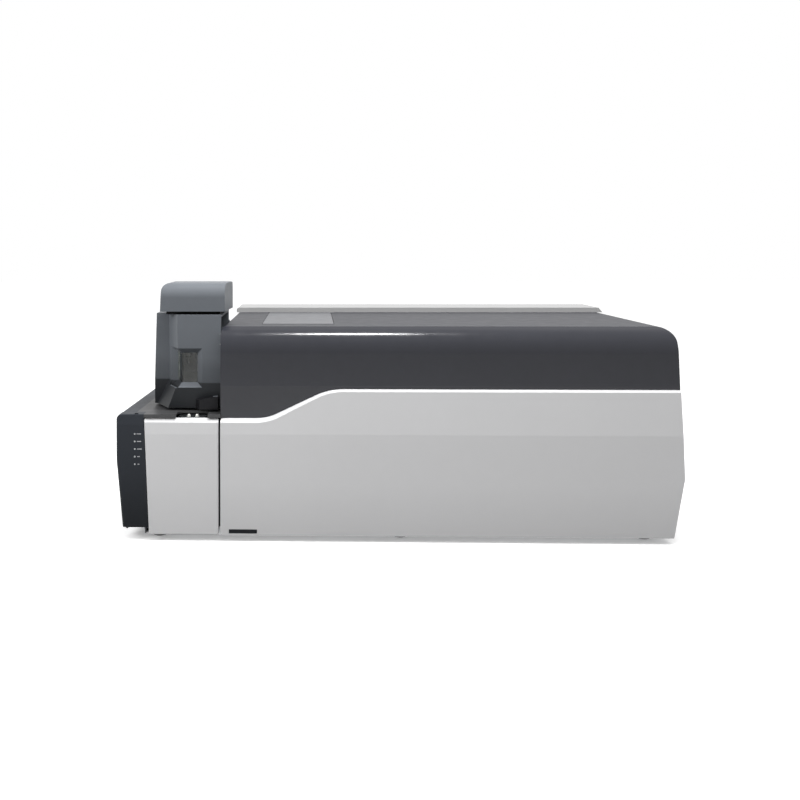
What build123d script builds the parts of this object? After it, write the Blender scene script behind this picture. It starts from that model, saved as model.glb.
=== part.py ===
from build123d import *
import os
from math import cos, hypot, radians, sin, sqrt, tan

# A benchtop triple-quadrupole mass spectrometer, in millimetres.
# X runs along the instrument to its right end, Y runs to its back, Z is up. The origin lies on the
# bench, in the middle of the footprint.

# ---- Overall size -------------------------------------------------------------------------------
overall_width = 1165.0
overall_depth = 640.0
port_reach = 20.0
foot_height = 12.0
foot_radius = 18.0
foot_inset = 42.0
corner_notch = 60.0
pan_flange = 14.0
pan_slot_starts = (220.0, 560.0)
pan_slot_count = 8
pan_slot_length = 60.0
pan_slot_width = 5.0
pan_slot_pitch = 14.0

left_end = -overall_width / 2
right_end = overall_width / 2
front = -overall_depth / 2
back = overall_depth / 2 - port_reach

# ---- Heights of the design lines ----------------------------------------------------------------
panel_lift = 1.5
panel_bottom = foot_height + panel_lift
crease_height = 222.0
kink_height = 134.0
door_top = 254.0
shelf_top = 262.0
swoosh_top = 315.0
band_height = 321.0
deck_height = 441.0

# ---- Widths of the left unit and the side profile -----------------------------------------------
left_unit_width = 213.5
panel_gap = 4.0
bezel_width = 58.1
edge_lean = 9.4
bezel_gap = 1.2
side_taper = 25.0
side_kink_bottom = 22.0
side_kink_top = 11.5
belly_height = 168.0
belly_lean = 14.0
belly_radius = 300.0
corner_radius = 12.0

door_right = left_end + left_unit_width
wall_x = door_right + panel_gap
bezel_edge = left_end + bezel_width
door_left = bezel_edge + bezel_gap

# ---- Walls --------------------------------------------------------------------------------------
cover_wall = 4.0
panel_wall = 3.0
rim_depth = 14.0
sheet = 2.0
seat = 0.3
bevel = 9.0
tilt_top = 4.0
tilt_bottom = 2.0

# ---- S-shaped seam of the front panel -----------------------------------------------------------
seam_low_end = wall_x + 97.1
seam_high_start = wall_x + 224.6
seam_low_radius = 100.0
seam_high_radius = 130.0

# ---- Upper cover, deck and lid ------------------------------------------------------------------
cover_setback = 8.0
band_tuck = 3.0
roll_radius = 53.0
roll_start = deck_height - roll_radius
roll_angle = 65.0
deck_corner = 30.0
deck_length = 433.0
lid_left = wall_x + 82.0
lid_width = 155.0
lid_front = front + 110.0
lid_thickness = 3.0
lid_gap = 1.2
lid_back_gap = 5.5
lid_flange = 9.0
lid_pin_radius = 2.0
lid_pin_drop = 6.5
rear_cover_height = 12.0
rear_cover_slope = 10.0

deck_back = front + 45.0 + deck_length

# ---- Door pivots --------------------------------------------------------------------------------
pivot_inset = 26.0
pivot_depth = 8.5
pivot_radius = 1.5
running_gap = 0.05
lug_radius = 3.3
lug_height = 8.0
pivot_plate = 3.0
arm_angle = 40.0
arm_width = 6.5
arm_overlap = 12.0
door_hollow_gap = 60.0

# ---- Compartment --------------------------------------------------------------------------------
liner_left_inset = 60.5
liner_right_inset = 3.0
swing_clearance = 0.6
swing_radius = hypot(pivot_inset, pivot_depth) + swing_clearance
liner_front = front + pivot_depth + swing_radius
liner_depth = 144.0
liner_top = shelf_top - 15.0
liner_wall = 2.5
valve_width = 60.0
valve_length = 60.0
stator_radius = 22.0
stator_length = 18.0

# ---- Status lamps -------------------------------------------------------------------------------
lamp_count = 5
lamp_pitch = 15.7
lamp_top = 221.6
lamp_inset = 39.5
lamp_radius = 1.8

# ---- Shelf recess and tube unions ---------------------------------------------------------------
recess_centre = door_right - 55.5
recess_width = 66.0
recess_depth = 40.0
port_width = 58.0
port_depth = 26.0
port_height = 8.5
union_radius = 4.0
union_spacing = 17.0
union_height = 10.0

# ---- Ion source ---------------------------------------------------------------------------------
source_gap = 2.5
source_front = front + 50.0
source_depth = 192.0
source_width = 147.0
source_lean = 5.0
setback_width = 27.5
chamfer_width = 27.0
chamfer_depth = 64.0
setback_flare = 27.0
chamfer_flare = 21.0
source_bottom = shelf_top + 5.0
source_top = deck_height + 23.7
source_tuck = 6.0
source_wall = 5.0
spray_x = wall_x - 83.0
spray_y = front + 145.0
inlet_height = deck_height - 106.0

window_right = wall_x - 42.5
window_wrap = 51.5
window_bottom = band_height - 11.0
window_top = band_height + 73.0
window_bevel_side = 11.5
window_bevel_end = 12.0
window_bevel_top = 10.5
window_bevel_bottom = 11.0
window_depth = 12.0
glass_thickness = 4.0
glass_overlap = 3.0
retainer_width = 6.0
retainer_thickness = 2.5
frame_rim = 3.0
glass_gap = 0.2

# ---- Probe --------------------------------------------------------------------------------------
neck_height = 6.7
neck_inset = 12.0
probe_cover_width = 138.5
probe_cover_depth = 135.0
probe_cover_height = 60.0
probe_cover_flare = 6.0
probe_cover_overhang = 4.5
probe_cover_setback = 10.0
probe_cover_roll = 30.0
probe_cover_corner = 16.0
probe_cover_wall = 3.0
probe_radius = 11.0
probe_clearance = 1.0
probe_flange_radius = 20.0
needle_radius = 0.8
spray_tip = 350.0

# ---- Source hinge and latch ---------------------------------------------------------------------
source_pin_radius = 3.0
knuckle_radius = 6.0
knuckle_height = 20.0
hinge_low = source_bottom + 20.0
hinge_high = source_top - 45.0
latch_left = wall_x - 55.4
latch_low = source_bottom + 0.5
latch_high = 293.5
latch_reach = 18.0
latch_pin_radius = 2.0
ear_radius = 5.0
ear_height = 6.5

# ---- Interface and vacuum system ----------------------------------------------------------------
flange_thickness = 16.0
flange_width = 172.0
flange_height = 146.0
flange_boss = 8.0
heater_reach = 34.0
heater_radius = 28.0
heater_tip_radius = 12.0
line_radius = 1.6
line_length = 92.0
seal_thickness = 1.0
chamber_end_gap = 187.5
chamber_width = 150.0
chamber_height = 120.0
chamber_wall = 14.0
chamber_lid_thickness = 12.0
stand_thickness = 5.0
stand_foot = 30.0
stand_inset = 55.0

pump_start = 165.0
pump_end_gap = 245.0
pump_radius = 68.0
pump_wall = 8.0
pump_height = 150.0
pump_flange_radius = 74.0
pump_flange = 12.0
pump_port_radius = 50.0
rotor_hub_radius = 25.0
rotor_shaft_radius = 6.0
rotor_tip_gap = 3.0
blade_count = 12
blade_stages = 3
blade_thickness = 2.0
blade_height = 12.0
blade_angle = 38.0
stage_pitch = 26.0

# ---- Electronics --------------------------------------------------------------------------------
generator_start = 250.0
generator_end_gap = 220.0
generator_width = 130.0
generator_depth = 90.0
supply_width = 170.0
supply_depth = 150.0
supply_height = 90.0
board_tray_width = 290.0
board_tray_height = 200.0
board_setback = 110.0
board_post = 6.0
board_thickness = 1.6

# ---- Rear ---------------------------------------------------------------------------------------
mains_width = 48.0
mains_height = 28.0
switch_width = 22.0
plate_rim = 3.0
fan_radius = 56.0
fan_size = 120.0
fan_thickness = 32.0
fan_positions = (470.0, 610.0)
fan_height = inlet_height
vent_height = deck_height - 111.0
fan_blades = 7
fan_hub_radius = 20.0
fan_shaft_radius = 3.0
gas_tube_radius = 3.05
gas_body_radius = 7.0
gas_spacing = 35.0
gas_count = 3
foreline_radius = 12.5
foreline_run_radius = 11.4
foreline_bore = 9.5
nipple_radius = 12.1
collar_thickness = 3.0
collar_rim = 4.0
exhaust_radius = 9.0


# ---- Helpers ------------------------------------------------------------------------------------
def block(x0, x1, y0, y1, z0, z1):
    """A box between two opposite corners."""
    middle = Pos((x0 + x1) / 2, (y0 + y1) / 2, (z0 + z1) / 2)
    return middle * Box(x1 - x0, y1 - y0, z1 - z0)


def upright(x, y, z0, z1, radius):
    return Pos(x, y, (z0 + z1) / 2) * Cylinder(radius, z1 - z0)


def rod_x(x0, x1, y, z, radius):
    return Pos((x0 + x1) / 2, y, z) * Rot(0, 90, 0) * Cylinder(radius, x1 - x0)


def rod_y(x, y0, y1, z, radius):
    return Pos(x, (y0 + y1) / 2, z) * Rot(90, 0, 0) * Cylinder(radius, y1 - y0)


def outline(corners):
    """A closed flat face through (u, v, radius) corners, each rounded by its own radius."""
    stretches = []
    for i, (u, v, radius) in enumerate(corners):
        corner = Vector(u, v)
        if not radius:
            stretches.append((corner, None, corner))
            continue
        before = (Vector(*corners[i - 1][:2]) - corner).normalized()
        after = (Vector(*corners[(i + 1) % len(corners)][:2]) - corner).normalized()
        half = radians(before.get_angle(after)) / 2
        inward = (before + after).normalized()
        reach = radius / tan(half)
        top = corner + inward * (radius / sin(half) - radius)
        stretches.append((corner + before * reach, top, corner + after * reach))
    edges = []
    for i, (start, top, end) in enumerate(stretches):
        if top is not None:
            edges.append(ThreePointArc(start, top, end))
        following = stretches[(i + 1) % len(stretches)][0]
        if (following - end).length > 1e-6:
            edges.append(Line(end, following))
    return make_face(edges)


def front_prism(corners, y0, y1):
    """A solid whose outline in X and Z is seen from the front, from y0 to y1."""
    plane = Plane(origin=(0, y1, 0), x_dir=(1, 0, 0), z_dir=(0, -1, 0))
    return extrude(plane * outline(corners), y1 - y0)


def side_prism(corners, x0, x1):
    """A solid whose outline in Y and Z is seen from the side, from x0 to x1."""
    plane = Plane(origin=(x0, 0, 0), x_dir=(0, 1, 0), z_dir=(1, 0, 0))
    return extrude(plane * outline(corners), x1 - x0)


def plan_prism(corners, z0, z1):
    """A solid whose outline in X and Y is seen from above, from z0 to z1."""
    return extrude(Pos(0, 0, z0) * outline(corners), z1 - z0)


def save(node, *solids):
    shape = solids[0] if len(solids) == 1 else Compound(children=[s for s in solids])
    shape.label = node
    export_step(shape, f"parts/{node}.step")


def side_x(z, inset=0.0):
    """The right end's outer face at height z: it leans out to the kink and back in above it."""
    if z < kink_height:
        lean = side_kink_bottom * (kink_height - z) / (kink_height - panel_bottom)
    else:
        lean = side_kink_top * (z - kink_height) / (deck_height - kink_height)
    return right_end - lean - inset


def tapered(x, y):
    """The place at depth y of a point of the left end that lies at x on the front face."""
    return x + side_taper * (y - front) / (back - front)


def door_edge(z):
    """The slanted boundary between the bezel and the door, at height z."""
    return bezel_edge + edge_lean * (door_top - z) / (door_top - panel_bottom)


def seam_corners(lift=0.0):
    """The S-shaped seam, from its low left end to its high right end."""
    return [
        (seam_low_end, door_top + lift, seam_low_radius),
        (seam_high_start, swoosh_top + lift, seam_high_radius),
    ]


# ---- Base ---------------------------------------------------------------------------------------
pan_top = foot_height + sheet
pan_front = front + rim_depth
pan_back = back - sheet
pan_left = left_end + belly_lean + panel_wall + 1.0
pan_right = side_x(panel_bottom, panel_wall + 1.0)


def pan_outline(inset):
    notch_back = pan_front + corner_notch
    notch_side = liner_left - sheet - 1.0
    return [
        (tapered(pan_left, notch_back) + inset, notch_back + inset, 0),
        (notch_side + inset, notch_back + inset, 0),
        (notch_side + inset, pan_front + inset, 0),
        (pan_right - inset, pan_front + inset, 0),
        (pan_right - inset, pan_back - inset, 0),
        (tapered(pan_left, pan_back) + inset, pan_back - inset, 0),
    ]


def base_pan():
    rim = pan_top + pan_flange
    pan = plan_prism(pan_outline(0), foot_height, rim)
    pan -= plan_prism(pan_outline(sheet), pan_top, rim)
    for first in pan_slot_starts:
        for i in range(pan_slot_count):
            slot = SlotOverall(pan_slot_length, pan_slot_width)
            place = Pos(wall_x + first + i * pan_slot_pitch, 0, foot_height)
            pan -= extrude(place * Rot(0, 0, 90) * slot, sheet)
    arm_gap = block(pivot_x, pivot_x + swing_radius, pan_front - 1, pan_front + sheet + 1, pan_top,
                    rim + 1)
    return pan - arm_gap - upright(pivot_x, pivot_y, foot_height - 1, rim + 1, swing_radius)


def rubber_feet():
    feet = []
    foot_shape = Cone(foot_radius * 0.85, foot_radius, foot_height)
    for y in (pan_front + foot_inset, pan_back - foot_inset):
        left = tapered(pan_left, pan_back) + foot_inset
        right = pan_right - foot_inset
        for x in (left, (left + right) / 2, right):
            feet.append(Pos(x, y, foot_height / 2) * foot_shape)
    return feet


# ---- Covers -------------------------------------------------------------------------------------
def panel_depth_profile(inset, top):
    """The front panels' section: upright below the crease, leaning back above and below it."""
    slope_top = tilt_top / (swoosh_top - crease_height)
    return [
        (front + rim_depth + 1, panel_bottom - 1, 0),
        (front + tilt_bottom + inset, panel_bottom - 1, 0),
        (front + inset, crease_height, 0),
        (front + inset + slope_top * (top - crease_height), top, 0),
        (front + rim_depth + 1, top, 0),
    ]


def bevelled_top(solid, lowest):
    """Breaks the upper front edges of a panel, which catch the light as one bright line."""
    edges = [
        e for e in solid.edges()
        if e.center().Z > lowest and abs(e.center().Y - front) < 0.01 and e.bounding_box().min.Z > lowest
    ]
    return chamfer(edges, bevel)


def lower_front_panel():
    def face_outline(inset, top_inset, corner=0.0):
        return [
            (wall_x + inset, panel_bottom + inset, 1.5),
            (side_x(panel_bottom, inset), panel_bottom + inset, 1.5),
            (side_x(kink_height, inset), kink_height, 0),
            (side_x(swoosh_top, inset), swoosh_top - top_inset, 0),
        ] + [(x, z - top_inset, r) for x, z, r in reversed(seam_corners())] + [
            (wall_x + inset, door_top - top_inset, corner),
        ]

    back_of_rim = front + rim_depth
    panel = bevelled_top(front_prism(face_outline(0, 0), front, back_of_rim), door_top - 12)
    panel &= front_prism(face_outline(0, 0, 6.0), front, back_of_rim)
    panel &= side_prism(panel_depth_profile(0, swoosh_top + 5), left_end, right_end)
    hollow = front_prism(face_outline(panel_wall, panel_wall + bevel - 4), front, back_of_rim)
    hollow &= side_prism(panel_depth_profile(panel_wall, swoosh_top + 5), left_end, right_end)
    return panel - hollow


def left_door():
    def face_outline(inset, top_inset, corner=0.0):
        top = door_top - top_inset
        bottom = panel_bottom + inset
        return [
            (door_edge(bottom) + bezel_gap, bottom, 1.5),
            (door_right - inset, bottom, 5.0),
            (door_right - inset, top, corner),
            (door_edge(top) + bezel_gap, top, corner),
        ]

    back_of_rim = front + rim_depth
    door = bevelled_top(front_prism(face_outline(0, 0), front, back_of_rim), door_top - 4)
    door &= front_prism(face_outline(0, 0, 3.0), front, back_of_rim)
    door &= side_prism(panel_depth_profile(0, swoosh_top), left_end, right_end)
    hollow = front_prism(face_outline(panel_wall, panel_wall + bevel - 4), front, back_of_rim)
    hollow += block(left_end, door_right - door_hollow_gap, front, back_of_rim, panel_bottom + panel_wall,
                    door_top - panel_wall - bevel + 4)
    hollow &= side_prism(panel_depth_profile(panel_wall, swoosh_top), left_end, right_end)
    door -= hollow
    for low in (pivot_low + pivot_plate + 0.5, pivot_high - pivot_plate - 0.5 - lug_height):
        lug = upright(pivot_x, pivot_y, low, low + lug_height, lug_radius)
        lug += block(pivot_x - lug_radius, pivot_x + lug_radius, front + panel_wall - 0.4, pivot_y,
                     low, low + lug_height)
        door += lug
        door -= upright(pivot_x, pivot_y, low - 1, low + lug_height + 1, pivot_radius + running_gap)
    left_edges = [
        e for e in door.edges().filter_by(GeomType.LINE)
        if e.length > 100 and e.center().X < door_left + 8 and e.center().Y < front + 1.5
    ]
    return fillet(left_edges[0], 2.5) if left_edges else door


pivot_x = door_left + pivot_inset
pivot_y = front + pivot_depth
liner_left = left_end + liner_left_inset
liner_right = door_right - liner_right_inset
liner_back = liner_front + liner_depth
pivot_low = pan_top + liner_wall
pivot_high = liner_top - liner_wall


def compartment_liner():
    tray = block(liner_left, liner_right, liner_front, liner_back, pan_top, liner_top)
    tray -= block(liner_left + liner_wall, liner_right - liner_wall, liner_front - 1,
                  liner_back - liner_wall, pan_top + liner_wall, liner_top - liner_wall)
    arm_length = (liner_front + arm_overlap - pivot_y) / sin(radians(arm_angle))
    for low in (pivot_low, pivot_high - pivot_plate):
        bar = block(0, arm_length, -arm_width / 2, arm_width / 2, low, low + pivot_plate)
        bar += upright(0, 0, low, low + pivot_plate, arm_width / 2)
        arm = Pos(pivot_x, pivot_y, 0) * Rot(0, 0, arm_angle) * bar
        arm -= upright(pivot_x, pivot_y, low, low + pivot_plate, pivot_radius)
        tray += arm
    return tray


def door_pivot_pins():
    reach = pivot_plate + 0.5 + lug_height
    low = upright(pivot_x, pivot_y, pivot_low, pivot_low + reach, pivot_radius)
    high = upright(pivot_x, pivot_y, pivot_high - reach, pivot_high, pivot_radius)
    return [low, high]


def switching_valve():
    x = (liner_left + liner_right) / 2 - 20.0
    z = 165.0
    y = liner_back - liner_wall
    half = valve_width / 2
    valve = block(x - half, x + half, y - valve_length, y, z - half, z + half)
    valve += rod_y(x, y - valve_length - stator_length, y - valve_length, z, stator_radius)
    for i in range(6):
        angle = radians(60 * i)
        nut = rod_y(x + 13 * cos(angle), y - valve_length - stator_length - 9,
                    y - valve_length - stator_length, z + 13 * sin(angle), 3.2)
        valve += nut
    return valve


def belly_corners(inset):
    """The left end's outer line from the bottom up to the top, seen from the front."""
    return [
        (left_end + belly_lean + inset, panel_bottom + 2.5, 0),
        (left_end + inset, belly_height, belly_radius - inset),
        (left_end + inset, shelf_top - inset, corner_radius - inset),
    ]


bezel_bottom = 28.0
bezel_back = liner_front
strip_width = 37.5


def status_bezel():
    wall = panel_wall
    face = front + 4.0

    def face_outline(inset):
        bottom = bezel_bottom + inset
        rise = (bezel_bottom - panel_bottom - 2.5) / (belly_height - panel_bottom - 2.5)
        return [
            (left_end + belly_lean * (1 - rise) + inset, bottom, 0),
            (left_end + inset, belly_height, belly_radius - inset),
            (left_end + inset, shelf_top - inset, corner_radius - inset),
            (door_edge(shelf_top) - inset, shelf_top - inset, 0),
            (door_edge(bottom) - inset, bottom, 0),
        ]

    bezel = front_prism(face_outline(0), face, bezel_back)
    band = side_prism([
        (face - 1, 233.0, 0), (face + 3.0, shelf_top + 1, 0), (face - 1, shelf_top + 1, 0),
    ], left_end, bezel_edge + 5)
    edges = [
        e for e in bezel.edges()
        if abs(e.center().Y - face) < 0.01 and e.center().X < left_end + 14
    ]
    bezel = fillet(edges, 7.0)
    bezel -= band
    bezel -= front_prism(face_outline(wall), face + wall + 2, bezel_back)
    notch = block(left_end + strip_width, left_end + strip_width + 8, face + 4, face + 16,
                  shelf_top - wall - 1, shelf_top + 1)
    bezel -= notch
    for z in lamp_heights():
        bezel -= rod_y(left_end + lamp_inset, face - 1, face + wall + 3, z, lamp_radius)
    return bezel


def lamp_heights():
    return [lamp_top - i * lamp_pitch for i in range(lamp_count)]


def status_lamps():
    lamps = []
    face = front + 4.0
    inner = face + panel_wall + 2
    for z in lamp_heights():
        lens = rod_y(left_end + lamp_inset, face - 0.5, inner, z, lamp_radius - 0.1)
        lens += rod_y(left_end + lamp_inset, inner, inner + 2.0, z, lamp_radius + 1.5)
        lamps.append(lens)
    return lamps


def left_side_cover():
    wall = panel_wall
    start = bezel_back
    shift = tapered(0, start)
    outer = belly_corners(0) + [(left_end + strip_width, shelf_top, 0)]
    inner = [(left_end + strip_width, shelf_top - wall, 0)] + list(reversed(belly_corners(wall)))
    profile = outline(outer + inner)
    slope = side_taper / (back - front)
    run = back - sheet - start
    direction = Vector(slope, 1, 0).normalized()
    plane = Plane(origin=(shift, start, 0), x_dir=(1, 0, 0), z_dir=(0, -1, 0))
    return extrude(plane * profile, run * sqrt(1 + slope ** 2), dir=direction)


def shelf_cover():
    strip = left_end + strip_width
    low = shelf_top - cover_wall
    lip_bottom = door_top + 1.2
    lip_left = door_edge(lip_bottom)
    shelf = plan_prism([
        (tapered(strip, bezel_back), bezel_back, 0),
        (lip_left, bezel_back, 0),
        (lip_left, front + 4.0, 0),
        (wall_x, front + 4.0, 0),
        (wall_x, back - sheet, 0),
        (tapered(strip, back - sheet), back - sheet, 0),
    ], low, shelf_top)
    shelf += block(lip_left, wall_x, front + 4.0, front + 8.0, lip_bottom, low)
    recess = plan_prism([
        (recess_centre - recess_width / 2, front, 0),
        (recess_centre + recess_width / 2, front, 0),
        (recess_centre + recess_width / 2, front + 4.0 + recess_depth, 14.0),
        (recess_centre - recess_width / 2, front + 4.0 + recess_depth, 14.0),
    ], lip_bottom - 1, shelf_top + 1)
    return shelf - recess


port_y = pan_front + 1.0 + port_depth / 2


def tube_port():
    ring = Pos(recess_centre, port_y, liner_top) * SlotOverall(port_width, port_depth)
    hole = Pos(recess_centre, port_y, liner_top + 2.0) * SlotOverall(port_width - 5, port_depth - 5)
    return extrude(ring, port_height) - extrude(hole, port_height)


def tube_unions():
    unions = []
    base = liner_top + 2.0
    for side in (-1, 1):
        x = recess_centre + side * union_spacing / 2
        nut = extrude(Pos(x, port_y, base) * RegularPolygon(union_radius, 6), union_height * 0.6)
        dome = upright(x, port_y, base + union_height * 0.6, base + union_height, union_radius * 0.7)
        unions.append(fillet((nut + dome).edges().sort_by(Axis.Z)[-1], 1.2))
    return unions


# ---- Upper cover --------------------------------------------------------------------------------
cover_face = front + cover_setback


def roll_profile(inset, bottom, rear):
    """The cover's section: tucked-in band, upright front, roll-over and flat deck."""
    radius = roll_radius - inset
    rise = roll_start + radius * sin(radians(roll_angle))
    reach = radius * (1 - cos(radians(roll_angle)))
    middle = radians(roll_angle / 2)
    face = cover_face + inset
    top = deck_height - inset
    curve = ThreePointArc(
        (face, roll_start),
        (face + radius * (1 - cos(middle)), roll_start + radius * sin(middle)),
        (face + reach, rise),
    )
    run_out = (top - rise) / tan(radians(90 - roll_angle))
    edges = [
        Line((face + band_tuck, bottom), (face, band_height)),
        Line((face, band_height), (face, roll_start)),
        curve,
        Line((face + reach, rise), (face + reach + run_out, top)),
        Line((face + reach + run_out, top), (rear, top)),
        Line((rear, top), (rear, bottom)),
        Line((rear, bottom), (face + band_tuck, bottom)),
    ]
    return make_face(edges)


def cover_body(inset, bottom, rear):
    plane = Plane(origin=(wall_x - 10, 0, 0), x_dir=(0, 1, 0), z_dir=(1, 0, 0))
    roll = extrude(plane * roll_profile(inset, bottom, rear), overall_width)
    top = deck_height - inset
    frame = front_prism([
        (wall_x + inset, bottom, 0),
        (side_x(bottom, inset), bottom, 0),
        (side_x(top, inset), top, deck_corner - inset),
        (wall_x + inset, top, 7.0 - inset),
    ], front, rear)
    return roll & frame


lid_right = lid_left + lid_width
lid_back = deck_back - lid_back_gap
lid_axis_y = lid_back - 3.0
lid_axis_z = deck_height - lid_pin_drop
lid_boss = 8.0


def upper_cover():
    low = door_top - 1.0
    cover = cover_body(0, low, pan_back)
    cover -= cover_body(cover_wall, low - 1, pan_back + 1)
    below_seam = front_prism([
        (wall_x - 20, low - 20, 0),
        (right_end + 20, low - 20, 0),
        (right_end + 20, swoosh_top + seat, 0),
    ] + list(reversed(seam_corners(seat))) + [
        (wall_x - 20, door_top + seat, 0),
    ], front - 1, front + rim_depth + 0.5)
    cover -= below_seam
    cover -= block(right_end - 60, right_end + 10, front, pan_back + 1, low - 20, swoosh_top + seat)
    cover -= block(lid_left - lid_gap, lid_right + lid_gap, lid_front - lid_gap, deck_back + 0.5,
                   deck_height - 20, deck_height + 1)
    for x in (lid_left - lid_gap, lid_right + lid_gap + lid_boss):
        boss = block(x - lid_boss, x, lid_axis_y - 5, lid_axis_y + 5, lid_axis_z - 6,
                     deck_height - cover_wall)
        cover += boss - rod_x(x - lid_boss - 1, x + 1, lid_axis_y, lid_axis_z, lid_pin_radius)
    opening = block(wall_x - 1, wall_x + cover_wall + 1, spray_y - flange_width / 2 + 6,
                    spray_y + flange_width / 2 - 6, inlet_height - 48, inlet_height + 88)
    return cover - opening


def deck_lid():
    top = deck_height + 0.5
    lid = block(lid_left, lid_right, lid_front, lid_back, top - lid_flange, top)
    upright_edges = lid.edges().filter_by(Axis.Z)
    lid = fillet(upright_edges, 3.0)
    lid -= block(lid_left + lid_thickness, lid_right - lid_thickness, lid_front + lid_thickness,
                 lid_back - lid_thickness, top - lid_flange - 1, top - lid_thickness)
    for x in (lid_left, lid_right - 9.0):
        lid += block(x, x + 9.0, lid_axis_y - 5, lid_back - 0.5, lid_axis_z - 3.5, top - lid_thickness)
    lid -= rod_x(lid_left - 1, lid_left + 9.0, lid_axis_y, lid_axis_z, lid_pin_radius + running_gap)
    lid -= rod_x(lid_right - 9.0, lid_right + 1, lid_axis_y, lid_axis_z, lid_pin_radius + running_gap)
    return lid


def lid_hinge_pins():
    reach = lid_boss + lid_gap + 8.0
    left = rod_x(lid_left - lid_gap - lid_boss, lid_left - lid_gap - lid_boss + reach, lid_axis_y,
                 lid_axis_z, lid_pin_radius)
    right = rod_x(lid_right + lid_gap + lid_boss - reach, lid_right + lid_gap + lid_boss, lid_axis_y,
                  lid_axis_z, lid_pin_radius)
    return [left, right]


def rear_top_cover():
    top = deck_height + rear_cover_height
    left = wall_x - 3.0
    right = side_x(deck_height) - deck_corner * 0.35

    def shape(inset):
        return front_prism([
            (left + inset, deck_height - inset, 0),
            (right - inset, deck_height - inset, 0),
            (right - rear_cover_slope - inset, top - inset, 3.0),
            (left + inset, top - inset, 6.0),
        ], deck_back + inset, back - inset)

    lid = shape(0) - shape(2.5)
    return lid


def right_side_panel():
    low = panel_bottom + 1.0
    corners = [
        (side_x(low), low, 0),
        (side_x(kink_height), kink_height, 0),
        (side_x(swoosh_top), swoosh_top, 0),
        (side_x(swoosh_top, panel_wall), swoosh_top, 0),
        (side_x(kink_height, panel_wall), kink_height, 0),
        (side_x(low, panel_wall), low, 0),
    ]
    return front_prism(corners, front + rim_depth, back - sheet)


def partition_wall():
    start = pan_front + sheet
    return block(wall_x, wall_x + sheet, start, pan_back - sheet, pan_top, door_top - 1.0)


def rear_panel():
    inner = panel_wall + 0.3
    top = deck_height - cover_wall
    step = wall_x + cover_wall
    low_edge, belly, shoulder = [(tapered(x, back), z, r) for x, z, r in belly_corners(inner)]
    panel = front_prism([
        low_edge,
        (side_x(low_edge[1], inner), low_edge[1], 0),
        (side_x(kink_height, inner), kink_height, 0),
        (side_x(top, inner) - 8, top, 8.0),
        (step, top, 0),
        (step, shelf_top - cover_wall, 0),
        (shoulder[0], shelf_top - cover_wall, 6.0),
        belly,
    ], back - sheet, back)
    for x in fan_centres():
        panel -= rod_y(x, back - sheet - 1, back + 1, fan_height, fan_radius)
    for row in range(4):
        for column in range(9):
            slot = Pos(wall_x + 80 + column * 20, back, vent_height + row * 24) * Rot(90, 0, 0)
            panel -= extrude(slot * Rot(0, 0, 90) * SlotOverall(18, 4), sheet)
    for x in gas_centres():
        panel -= rod_y(x, back - sheet - 1, back + 1, gas_height, gas_body_radius + running_gap)
    panel -= rod_y(foreline_x, back - sheet - 1, back + 1, foreline_z, foreline_run_radius + running_gap)
    panel -= rod_y(exhaust_x, back - sheet - 1, back + 1, exhaust_z, exhaust_radius + running_gap)
    for x, width in ((mains_x, mains_width), (switch_x, switch_width)):
        panel -= block(x - width / 2, x + width / 2, back - sheet - 1, back + 1,
                       mains_z - mains_height / 2, mains_z + mains_height / 2)
    return panel


# ---- Interface and ion source -------------------------------------------------------------------
flange_x = wall_x + cover_wall
chamber_x = flange_x + flange_thickness
chamber_low = inlet_height - 60.0
seal_face = wall_x - 1.5


def interface_flange():
    half = flange_width / 2
    low = inlet_height - 53.0
    plate = block(flange_x, chamber_x, spray_y - half, spray_y + half, low, low + flange_height)
    boss = block(seal_face + seal_thickness, flange_x, spray_y - half + flange_boss,
                 spray_y + half - flange_boss, low + flange_boss, low + flange_height - flange_boss)
    boss = fillet(boss.edges().filter_by(Axis.X), 10.0)
    plate += boss
    return plate - rod_x(seal_face, chamber_x + 1, spray_y, inlet_height, line_radius)


def source_seal():
    half = flange_width / 2 - flange_boss - 5.0
    low = inlet_height - 53.0 + flange_boss + 5.0
    high = inlet_height - 53.0 + flange_height - flange_boss - 5.0
    ring = block(seal_face, seal_face + seal_thickness, spray_y - half, spray_y + half, low, high)
    ring = fillet(ring.edges().filter_by(Axis.X), 8.0)
    hole = block(seal_face - 1, seal_face + 2, spray_y - half + 4, spray_y + half - 4, low + 4, high - 4)
    return ring - fillet(hole.edges().filter_by(Axis.X), 5.0)


def heater_block():
    start = seal_face + seal_thickness
    straight = heater_reach * 0.55
    heater = rod_x(start - straight, start, spray_y, inlet_height, heater_radius)
    taper = heater_reach - straight
    cone = Pos(start - straight - taper / 2, spray_y, inlet_height) * Rot(0, -90, 0)
    heater += cone * Cone(heater_radius, heater_tip_radius, taper)
    return heater - rod_x(start - heater_reach - 1, start + 1, spray_y, inlet_height, line_radius)


def desolvation_line():
    start = seal_face + seal_thickness - heater_reach - 10.0
    return rod_x(start, start + line_length, spray_y, inlet_height, line_radius)


source_right = wall_x - source_gap
source_left = source_right - source_width
source_back = source_front + source_depth


def inset_corners(corners, inset):
    """Moves each side of a clockwise outline inwards, with mitred corners."""
    moved = []
    for i, corner in enumerate(corners):
        point = Vector(*corner)
        before = (point - Vector(*corners[i - 1])).normalized()
        after = (Vector(*corners[(i + 1) % len(corners)]) - point).normalized()
        first = Vector(before.Y, -before.X)
        second = Vector(after.Y, -after.X)
        moved.append(point + (first + second) * (inset / (1 + first.dot(second))))
    return moved


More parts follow.
